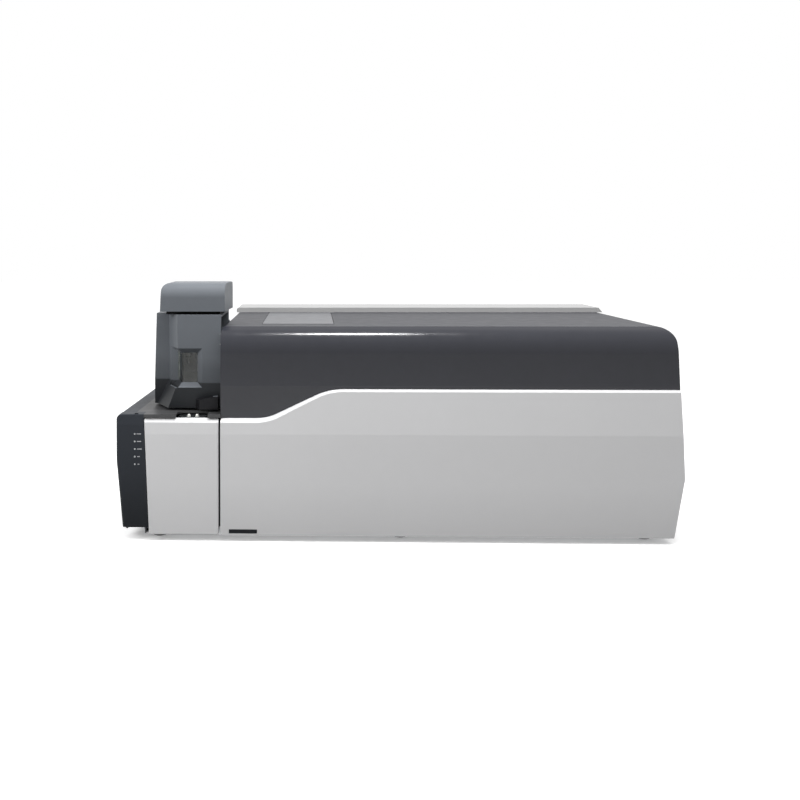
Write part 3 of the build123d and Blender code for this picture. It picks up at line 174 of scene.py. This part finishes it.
def painted_shade_by_height(g, tone, place, lean, stops):
    """Painted shade: the tone of the walls multiplied by a factor that follows the height; ledges keep
    theirs.
    """
    low, high = stops[0][0], stops[-1][0]
    ramp = g.new("ShaderNodeValToRGB")
    g.put(ramp.inputs[0], g.span(g.parts_of(place)["Z"], low * MM, high * MM))
    marks = ramp.color_ramp.elements
    while len(marks) < len(stops):
        marks.new(0.5)
    for mark, (level, factor) in zip(marks, stops):
        mark.position = (level - low) / (high - low)
        mark.color = (factor, factor, factor, 1.0)
    slope = g.math("SUBTRACT", lean["Z"], g.math("ABSOLUTE", lean["X"]))
    walls = g.span(slope, LEDGE, WALL)
    return g.mix(walls, tone, g.mix(1.0, tone, ramp.outputs[0], "MULTIPLY"))


def speckled(g, tone, place, grain, share, dot_colour):
    """Small darker dots, as in a textured powder coat or on a crowded board."""
    cells = g.new("ShaderNodeTexVoronoi")
    g.put(cells.inputs["Vector"], place)
    cells.inputs["Scale"].default_value = grain * 0.8
    dots = g.span(cells.outputs["Distance"], 0.10, 0.22, 1.0, 0.0)
    return g.mix(g.math("MULTIPLY", dots, share), tone, dot_colour)


def worn_and_highlit_edges(g, tone, patches, share, colour):
    """Paler edges: partly wear from hands and tools, partly a painted edge highlight."""
    rounding = g.new("ShaderNodeBevel")
    rounding.samples = 4
    rounding.inputs["Radius"].default_value = EDGE_WEAR_AND_HIGHLIGHT_REACH
    geometry = g.new("ShaderNodeNewGeometry")
    facing_rim = g.new("ShaderNodeVectorMath")
    facing_rim.operation = "DOT_PRODUCT"
    g.put(facing_rim.inputs[0], rounding.outputs[0])
    g.put(facing_rim.inputs[1], geometry.outputs["Normal"])
    rim = g.span(facing_rim.outputs["Value"], 0.98, 0.80)
    rubbed_and_highlit = g.math("MULTIPLY", g.math("MULTIPLY", rim, share), g.span(patches, 0.35, 0.7))
    return g.mix(rubbed_and_highlit, tone, scaled(colour, 1.0 + 1.2 * (1.0 - max(colour[:3]))))


def finish_material(
    name,
    colour,
    rough,
    grain,
    grain_depth,
    mottle,
    metallic=0.0,
    specular=0.5,
    brushed=None,
    speckle=0.0,
    edge=0.0,
    painted_shade=None,
    top_rough=0.0,
):
    """A surface finish: base colour with soft mottling and grain, roughness and bump from noise.

    grain is the texture's cells per metre, grain_depth its bump in millimetres, mottle the share by
    which the colour wanders, brushed the axis along which metal is brushed, speckle and edge how
    strong the dots and the paler edges are (part wear, part painted highlight), fade a list of
    (height in millimetres, factor) stops for the painted shade on the tone of the walls, and top_rough
    what level faces add to the roughness.
    """
    material, g, shader = empty_material(name)
    coordinates = g.new("ShaderNodeTexCoord")
    place = coordinates.outputs["Object"]
    lean = g.parts_of(coordinates.outputs["Normal"])

    clouds = g.noise(place, CLOUDS, 4.0)
    patches = g.noise(place, PATCHES, 5.0)
    fine = g.noise(brushed_place(g, place, brushed) if brushed else place, grain, 2.0, 0.6)

    drift = g.math("ADD", g.math("MULTIPLY", clouds, 0.6), g.math("MULTIPLY", patches, 0.4))
    tone = g.mix(g.span(drift, 0.35, 0.65), scaled(colour, 1.0 - mottle), scaled(colour, 1.0 + mottle))
    # Painted shade: the walls darker towards the bottom, by the height stops given.
    if painted_shade is not None:
        tone = painted_shade_by_height(g, tone, place, lean, painted_shade)
    if speckle > 0.0:
        tone = speckled(g, tone, place, grain, speckle, scaled(colour, 0.55))
    # Paler edges: wear, and a painted edge highlight.
    if edge > 0.0:
        tone = worn_and_highlit_edges(g, tone, patches, edge, colour)
    g.put(shader.inputs["Base Color"], tone)

    patch_wander = g.math("MULTIPLY", g.math("SUBTRACT", patches, 0.5), PATCH_SHEEN)
    grain_wander = g.math("MULTIPLY", g.math("SUBTRACT", fine, 0.5), GRAIN_SHEEN)
    roughness = g.math("ADD", g.math("ADD", patch_wander, grain_wander), rough, clamp=True)
    if top_rough > 0.0:
        level_faces = g.span(lean["Z"], 0.9, 1.0)
        roughness = g.math("ADD", roughness, g.math("MULTIPLY", level_faces, top_rough), clamp=True)
    g.put(shader.inputs["Roughness"], roughness)
    g.put(shader.inputs["Normal"], g.bump(fine, 0.6, grain_depth * MM))

    shader.inputs["Metallic"].default_value = metallic
    shader.inputs["Specular IOR Level"].default_value = specular
    return material


# ---- Colours and finishes -----------------------------------------------------------------------
WHITE = srgb(207, 207, 208)
TRIM = srgb(160, 160, 160)
DARK = srgb(44, 45, 51)
BEZEL = srgb(50, 53, 58)
SOURCE = srgb(102, 106, 111)
SHELF = srgb(60, 60, 61)
LID = srgb(78, 79, 84)

# Heights in the fade lists are in millimetres above the bench. Each list is painted shade: the walls
# grow darker towards the bottom, and on the cover and the source darker below the band at 320 mm.
FINISHES = {
    "white_panel": dict(
        colour=WHITE, rough=0.42, grain=900.0, grain_depth=0.03, mottle=0.012, edge=0.25,
        painted_shade=[(15.0, 0.84), (120.0, 0.97), (240.0, 0.98)]
    ),
    "white_door": dict(
        colour=WHITE, rough=0.42, grain=900.0, grain_depth=0.03, mottle=0.012, edge=0.25,
        painted_shade=[(15.0, 0.88), (120.0, 0.98), (240.0, 1.0)]
    ),
    "light_trim": dict(
        colour=TRIM, rough=0.45, grain=800.0, grain_depth=0.04, mottle=0.02, edge=0.2
    ),
    "dark_cover": dict(
        colour=DARK, rough=0.17, grain=1100.0, grain_depth=0.012, mottle=0.04, specular=0.3, top_rough=0.30,
        painted_shade=[(0.0, 0.85), (319.0, 0.85), (321.0, 1.0), (420.0, 1.0)]
    ),
    "dark_bezel": dict(
        colour=BEZEL, rough=0.42, grain=1100.0, grain_depth=0.03, mottle=0.04, specular=0.08,
        painted_shade=[(25.0, 0.30), (60.0, 0.42), (140.0, 0.80), (232.0, 1.0)]
    ),
    "source_paint": dict(
        colour=SOURCE, rough=0.42, grain=1200.0, grain_depth=0.04, mottle=0.04, specular=0.12,
        painted_shade=[(300.0, 0.16), (320.0, 0.18), (322.0, 0.62), (350.0, 0.72), (375.0, 0.92), (440.0, 1.0),
              (531.0, 1.0)]
    ),
    "shelf_grey": dict(
        colour=SHELF, rough=0.45, grain=900.0, grain_depth=0.05, mottle=0.04, specular=0.35
    ),
    "lid_grey": dict(
        colour=LID, rough=0.36, grain=900.0, grain_depth=0.04, mottle=0.04, specular=0.4
    ),
    "liner_grey": dict(
        colour=srgb(150, 152, 154), rough=0.5, grain=700.0, grain_depth=0.05, mottle=0.03
    ),
    "rear_sheet": dict(
        colour=srgb(176, 177, 176), rough=0.55, grain=850.0, grain_depth=0.10, mottle=0.025,
        speckle=0.18, edge=0.3
    ),
    "zinc_sheet": dict(
        colour=srgb(168, 170, 172), rough=0.42, grain=260.0, grain_depth=0.02, mottle=0.10,
        metallic=0.85, brushed="X"
    ),
    "aluminium": dict(
        colour=srgb(190, 191, 193), rough=0.36, grain=900.0, grain_depth=0.02, mottle=0.04,
        metallic=0.95, brushed="X", edge=0.3
    ),
    "steel": dict(
        colour=srgb(178, 178, 180), rough=0.26, grain=1400.0, grain_depth=0.012, mottle=0.04,
        metallic=1.0, brushed="Z"
    ),
    "brass": dict(
        colour=srgb(196, 160, 92), rough=0.28, grain=1400.0, grain_depth=0.012, mottle=0.05,
        metallic=1.0, brushed="Y"
    ),
    "ceramic": dict(
        colour=srgb(232, 228, 216), rough=0.35, grain=1500.0, grain_depth=0.01, mottle=0.02
    ),
    "board": dict(
        colour=srgb(38, 84, 54), rough=0.34, grain=520.0, grain_depth=0.05, mottle=0.10, speckle=0.5
    ),
    "rubber": dict(
        colour=srgb(34, 34, 35), rough=0.72, grain=1000.0, grain_depth=0.06, mottle=0.08
    ),
    "seal": dict(
        colour=srgb(46, 42, 40), rough=0.55, grain=1000.0, grain_depth=0.03, mottle=0.06
    ),
    "black_plastic": dict(
        colour=srgb(16, 16, 19), rough=0.38, grain=1300.0, grain_depth=0.03, mottle=0.05, specular=0.15
    ),
    "white_plastic": dict(
        colour=srgb(236, 236, 232), rough=0.3, grain=1300.0, grain_depth=0.02, mottle=0.02
    ),
    "port_grey": dict(
        colour=srgb(52, 53, 55), rough=0.4, grain=900.0, grain_depth=0.03, mottle=0.04, specular=0.3
    ),
    "deep_black": dict(
        colour=srgb(9, 9, 10), rough=0.6, grain=900.0, grain_depth=0.03, mottle=0.08, specular=0.08
    ),
    "print_grey": dict(
        colour=srgb(172, 173, 176), rough=0.5, grain=1300.0, grain_depth=0.01, mottle=0.05
    ),
    "lamp": dict(
        colour=srgb(182, 186, 188), rough=0.2, grain=1600.0, grain_depth=0.01, mottle=0.04
    ),
}

materials = {name: finish_material(name, **finish) for name, finish in FINISHES.items()}


def glass_material(name):
    """Smoked safety glass with a fine haze."""
    material, g, shader = empty_material(name)
    place = g.new("ShaderNodeTexCoord").outputs["Object"]
    smear = g.noise(place, 45.0, 5.0)
    g.put(shader.inputs["Base Color"], g.mix(smear, (0.50, 0.53, 0.50, 1.0), (0.60, 0.63, 0.59, 1.0)))
    g.put(shader.inputs["Roughness"], g.span(smear, 0.3, 0.7, 0.03, 0.12))
    shader.inputs["Transmission Weight"].default_value = 1.0
    shader.inputs["IOR"].default_value = 1.45
    g.put(shader.inputs["Normal"], g.bump(smear, 0.2, 0.02 * MM))
    return material


materials["glass"] = glass_material("glass")

# Each node carries the name of its slot from the frame, and two of them are darker than the rest.
DARKER = {"tube_port": "port_grey", "probe_neck": "deep_black"}
for node_name, node in nodes.items():
    slot_name = node.data.materials[0].name.split(".")[0]
    node.data.materials.clear()
    node.data.materials.append(materials[DARKER.get(node_name, slot_name)])


# ---- Light, floor and background ----------------------------------------------------------------
DOME_LOW = 0.36
DOME_RISE = 0.9
FLOOR_HALF = 14.0
FLOOR_BOUNCE = (0.12, 0.12, 0.12, 1.0)
FLOOR_GLOW = 0.25
PURE_WHITE = (1.0, 1.0, 1.0, 1.0)


def make_world():
    """A soft dome, brighter overhead, which the camera, mirrors and glass see as plain white."""
    world = bpy.data.worlds.new("studio")
    scene.world = world
    world.use_nodes = True
    tree = world.node_tree
    tree.nodes.clear()
    g = Graph(tree)
    up = g.math("MAXIMUM", g.parts_of(g.new("ShaderNodeTexCoord").outputs["Generated"])["Z"], 0.0)
    level = g.math("ADD", g.math("MULTIPLY", g.math("MULTIPLY", up, up), DOME_RISE), DOME_LOW)
    dome = g.new("ShaderNodeBackground")
    g.put(dome.inputs["Color"], g.grey(level))
    seen = g.new("ShaderNodeBackground")
    seen.inputs["Color"].default_value = PURE_WHITE
    mixed = g.new("ShaderNodeMixShader")
    g.put(mixed.inputs[0], g.seen_directly())
    g.put(mixed.inputs[1], dome.outputs[0])
    g.put(mixed.inputs[2], seen.outputs[0])
    g.put(g.new("ShaderNodeOutputWorld").inputs[0], mixed.outputs[0])


def make_floor():
    """A wide white floor that keeps the shadow and throws little light back."""
    mesh = bpy.data.meshes.new("floor")
    corners = ((-1, -1), (1, -1), (1, 1), (-1, 1))
    mesh.from_pydata([(FLOOR_HALF * x, FLOOR_HALF * y, 0.0) for x, y in corners], [], [(0, 1, 2, 3)])
    floor = bpy.data.objects.new("floor", mesh)
    scene.collection.objects.link(floor)
    material, g, shader = empty_material("floor_paper")
    shown = g.seen_directly()
    g.put(shader.inputs["Base Color"], g.mix(shown, FLOOR_BOUNCE, PURE_WHITE))
    shader.inputs["Roughness"].default_value = 0.9
    shader.inputs["Specular IOR Level"].default_value = 0.0
    shader.inputs["Emission Color"].default_value = PURE_WHITE
    g.put(shader.inputs["Emission Strength"], g.math("MULTIPLY", shown, FLOOR_GLOW))
    mesh.materials.append(material)


def area_lamp(name, place, aim, width, height, watts):
    """A rectangular lamp at a place, turned toward its aim, all in metres."""
    light = bpy.data.lights.new(name, "AREA")
    light.shape = "RECTANGLE"
    light.size = width
    light.size_y = height
    light.energy = watts
    lamp = bpy.data.objects.new(name, light)
    lamp.location = place
    lamp.rotation_euler = (Vector(aim) - Vector(place)).to_track_quat("-Z", "Y").to_euler()
    scene.collection.objects.link(lamp)
    return lamp


make_world()
make_floor()

# The narrow ceiling lamp gives the streak on the roll-over cover, the other two soft front light.
area_lamp("ceiling_lamp", (0.0, -0.33, 2.83), (0.0, -0.33, 0.4), 0.45, 0.05, 42.0)
for lamp_name, lamp_at, lamp_power in (
    ("front_lamp", (0.3, -1.1, 2.0), 22.0),
    ("left_lamp", (-1.75, -1.2, 1.15), 21.0),
):
    soft_lamp = area_lamp(lamp_name, lamp_at, (-0.1, -0.3, 0.2), 1.8, 0.7, lamp_power)
    soft_lamp.visible_glossy = False


# ---- Camera -------------------------------------------------------------------------------------
# FOCAL and CENTRE are in pixels of the 800 x 800 picture: the lens, and where its axis meets it.
IMAGE = 800
FOCAL = 954.0
CENTRE = (281.0, 246.5)
CAMERA_AT = (-0.1748, -2.2834, 0.6095)
YAW = math.radians(1.86)
ROLL = -0.0021
SENSOR = 36.0

camera_data = bpy.data.cameras.new("camera")
camera_data.sensor_width = SENSOR
camera_data.lens = FOCAL * SENSOR / IMAGE
camera_data.shift_x = (IMAGE / 2 - CENTRE[0]) / IMAGE
camera_data.shift_y = (CENTRE[1] - IMAGE / 2) / IMAGE
camera = bpy.data.objects.new("camera", camera_data)
turn = Euler((math.radians(90.0), 0.0, YAW)).to_matrix() @ Matrix.Rotation(ROLL, 3, "Z")
camera.matrix_world = Matrix.Translation(CAMERA_AT) @ turn.to_4x4()
scene.collection.objects.link(camera)
scene.camera = camera


# ---- Finding the surface ------------------------------------------------------------------------
# Rays start this far in front of or behind the middle, in metres, outside the whole part.
OUTSIDE = 0.6
trees = {}


def tree_of(node_name):
    if node_name not in trees:
        mesh = nodes[node_name].data
        points = [v.co.copy() for v in mesh.vertices]
        faces = [tuple(p.vertices) for p in mesh.polygons]
        trees[node_name] = BVHTree.FromPolygons(points, faces)
    return trees[node_name]


def hit(node_name, start, direction):
    """Where a ray meets a node, in metres, with the surface's normal there."""
    place, normal, _, _ = tree_of(node_name).ray_cast(Vector(start), Vector(direction))
    if place is None:
        raise RuntimeError(f"no surface of {node_name} at {start}")
    return place, normal


def front_hit(node_name, x, z):
    return hit(node_name, (x * MM, -OUTSIDE, z * MM), (0.0, 1.0, 0.0))


def back_hit(node_name, x, z):
    return hit(node_name, (x * MM, OUTSIDE, z * MM), (0.0, -1.0, 0.0))


# ---- Mesh helpers -------------------------------------------------------------------------------
def piece(name, bm, body, finish, smooth=False):
    """Turns a bmesh into an object that rides on a body and wears a finish."""
    bmesh.ops.recalc_face_normals(bm, faces=bm.faces)
    mesh = bpy.data.meshes.new(name)
    bm.to_mesh(mesh)
    bm.free()
    if smooth:
        for polygon in mesh.polygons:
            polygon.use_smooth = True
    mesh.materials.append(materials[finish])
    obj = bpy.data.objects.new(name, mesh)
    scene.collection.objects.link(obj)
    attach(obj, body)
    return obj


def facing(place, normal):
    """A frame at a place whose Z is the normal and whose Y leans upward."""
    z = Vector(normal).normalized()
    up = Vector((0, 0, 1)) if abs(z.z) < 0.9 else Vector((0, 1, 0))
    x = up.cross(z).normalized()
    y = z.cross(x)
    return Matrix.Translation(place) @ Matrix((x, y, z)).transposed().to_4x4()


def join_rings(bm, rings, capped=True):
    """Faces between neighbouring rings of vertices, and caps on the first and the last."""
    count = len(rings[0])
    for lower, upper in zip(rings, rings[1:]):
        for i in range(count):
            j = (i + 1) % count
            bm.faces.new((lower[i], lower[j], upper[j], upper[i]))
    if capped:
        bm.faces.new(list(reversed(rings[0])))
        bm.faces.new(rings[-1])


def add_prism(bm, outline, low, high, matrix, inset=0.0):
    """A prism from an outline about the origin, with its top edge drawn in by inset."""
    levels = [(low, 0.0)]
    if inset > 0.0:
        levels.append((high - inset, 0.0))
    levels.append((high, inset))
    rings = []
    for level, draw in levels:
        ring = []
        for x, y in outline:
            keep = 1.0 - draw / math.hypot(x, y)
            ring.append(bm.verts.new(matrix @ Vector((x * keep, y * keep, level))))
        rings.append(ring)
    join_rings(bm, rings)


def rounded(width, height, radius, steps=5):
    """A rounded rectangle about the origin."""
    points = []
    for cx, cy, start in (
        (width / 2 - radius, height / 2 - radius, 0.0),
        (-width / 2 + radius, height / 2 - radius, 90.0),
        (-width / 2 + radius, -height / 2 + radius, 180.0),
        (width / 2 - radius, -height / 2 + radius, 270.0),
    ):
        for i in range(steps + 1):
            a = math.radians(start + 90.0 * i / steps)
            points.append((cx + radius * math.cos(a), cy + radius * math.sin(a)))
    return points


def add_revolved(bm, profile, matrix, steps=24):
    """A turned form from (radius, height) points, closed at both ends."""
    turns = [2 * math.pi * i / steps for i in range(steps)]
    rings = []
    for radius, level in profile:
        circle = [Vector((radius * math.cos(a), radius * math.sin(a), level)) for a in turns]
        rings.append([bm.verts.new(matrix @ point) for point in circle])
    join_rings(bm, rings)


def add_ring(bm, radius, wire, matrix, steps, sides):
    """A wire ring about the Z axis."""
    rings = []
    for i in range(steps):
        a = 2 * math.pi * i / steps
        ring = []
        for k in range(sides):
            b = 2 * math.pi * k / sides
            reach = radius + wire * math.cos(b)
            point = Vector((reach * math.cos(a), reach * math.sin(a), wire * math.sin(b)))
            ring.append(bm.verts.new(matrix @ point))
        rings.append(ring)
    join_rings(bm, rings + rings[:1], capped=False)


# ---- Pieces -------------------------------------------------------------------------------------
# Places and sizes are in millimetres, in the part's own frame.
CAPTION_TOP = 221.6
CAPTION_PITCH = 15.7
CAPTION_HEIGHT = 1.7
CAPTION_SPANS = ((-539.3, 9.6), (-538.6, 8.8), (-538.1, 9.8), (-537.9, 5.4), (-537.3, 3.8))

BADGE_WIDTH = 58.4
BADGE_HEIGHT = 8.2
BADGE_CENTRE = (-318.5, 21.8)

STUD_X = -369.2
STUD_HEIGHTS = (424.7, 402.9)

SCREW_COLUMNS = [-345.0 + 176.0 * i for i in range(6)]
SCREW_ROWS = (424.0, 24.0)
CORNER_SCREWS = ((-540.0, 244.0), (-522.0, 40.0), (-420.0, 244.0))
SCREW_RADIUS = 3.6
GUARD_SCREW_RADIUS = 3.2

GUARD_RINGS = (14.0, 26.0, 38.0, 50.0)
GUARD_WIRE = 0.9
GUARD_LIFT = 1.6
GUARD_ARM_START = 12.0
GUARD_ARM_LENGTH = 60.0
GUARD_HUB_REACH = 74.2


def lamp_captions():
    """Plain printed bars beside the status lamps."""
    bm = bmesh.new()
    for i, (start, width) in enumerate(CAPTION_SPANS):
        place, normal = front_hit("status_bezel", start + width / 2, CAPTION_TOP - i * CAPTION_PITCH)
        bar = rounded(width * MM, CAPTION_HEIGHT * MM, 0.5 * MM, 3)
        add_prism(bm, bar, -0.05 * MM, 0.08 * MM, facing(place, normal))
    return piece("lamp_captions", bm, "chassis", "print_grey")


def badge_plate():
    """A bare plate low on the front panel, with a small bevel round its edge."""
    bm = bmesh.new()
    place, normal = front_hit("lower_front_panel", *BADGE_CENTRE)
    plate = rounded(BADGE_WIDTH * MM, BADGE_HEIGHT * MM, 0.8 * MM)
    add_prism(bm, plate, -0.1 * MM, 0.5 * MM, facing(place, normal), 0.15 * MM)
    # The bezel finish's painted shade, strongest this low, darkens the plate's front.
    return piece("badge_plate", bm, "chassis", "dark_bezel")


def source_studs():
    """Two small pins at the right edge of the ion source's front."""
    bm = bmesh.new()
    profile = [(1.2 * MM, -0.2 * MM), (1.2 * MM, 0.6 * MM), (0.8 * MM, 1.0 * MM), (0.3 * MM, 1.15 * MM)]
    for z in STUD_HEIGHTS:
        place, normal = front_hit("source_housing", STUD_X, z)
        add_revolved(bm, profile, facing(place, normal), 20)
    return piece("source_studs", bm, "source", "steel", smooth=True)


def screw_head(bm, matrix, radius):
    """A pan head with a round recess for its driver."""
    head = ((1.0, 0.25), (0.92, 0.42), (0.72, 0.56), (0.50, 0.62), (0.40, 0.62), (0.26, 0.22))
    profile = [(radius, -0.2 * MM)] + [(reach * radius, level * radius) for reach, level in head]
    add_revolved(bm, profile, matrix)


def rear_screws():
    """Pan-head screws that hold the rear panel."""
    bm = bmesh.new()
    places = [(x, z) for z in SCREW_ROWS for x in SCREW_COLUMNS] + list(CORNER_SCREWS)
    for x, z in places:
        screw_head(bm, facing(*back_hit("rear_panel", x, z)), SCREW_RADIUS * MM)
    return piece("rear_screws", bm, "chassis", "steel", smooth=True)


def fan_guards():
    """Wire guards over the two rear fans, each with four mounting screws."""
    low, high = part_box("fan_frames")
    half = (high[2] - low[2]) / 2
    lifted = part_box("rear_panel")[1][1] + GUARD_LIFT * MM
    to_back = Matrix.Rotation(math.radians(-90), 4, "X")
    along_x = Matrix.Rotation(math.radians(90), 4, "Y")
    wire = GUARD_WIRE * MM
    washer = [(4.4 * MM, 0.0), (4.4 * MM, 1.4 * MM), (3.9 * MM, 1.9 * MM)]
    wires = bmesh.new()
    screws = bmesh.new()
    for x in (low[0] + half, high[0] - half):
        centre = Matrix.Translation((x, lifted, low[2] + half)) @ to_back
        for radius in GUARD_RINGS:
            add_ring(wires, radius * MM, wire, centre, 56, 8)
        for quarter in range(4):
            arm = centre @ Matrix.Rotation(math.radians(45 + 90 * quarter), 4, "Z")
            start = arm @ Matrix.Translation((GUARD_ARM_START * MM, 0.0, -wire)) @ along_x
            add_revolved(wires, [(wire, 0.0), (wire, GUARD_ARM_LENGTH * MM)], start, 8)
            hub = arm @ Matrix.Translation((GUARD_HUB_REACH * MM, 0.0, -GUARD_LIFT * MM))
            add_revolved(wires, washer, hub)
            on_washer = hub @ Matrix.Translation((0.0, 0.0, washer[-1][1]))
            screw_head(screws, on_washer, GUARD_SCREW_RADIUS * MM)
    piece("fan_guards", wires, "chassis", "steel", smooth=True)
    return piece("fan_guard_screws", screws, "chassis", "steel", smooth=True)


lamp_captions()
badge_plate()
source_studs()
rear_screws()
fan_guards()
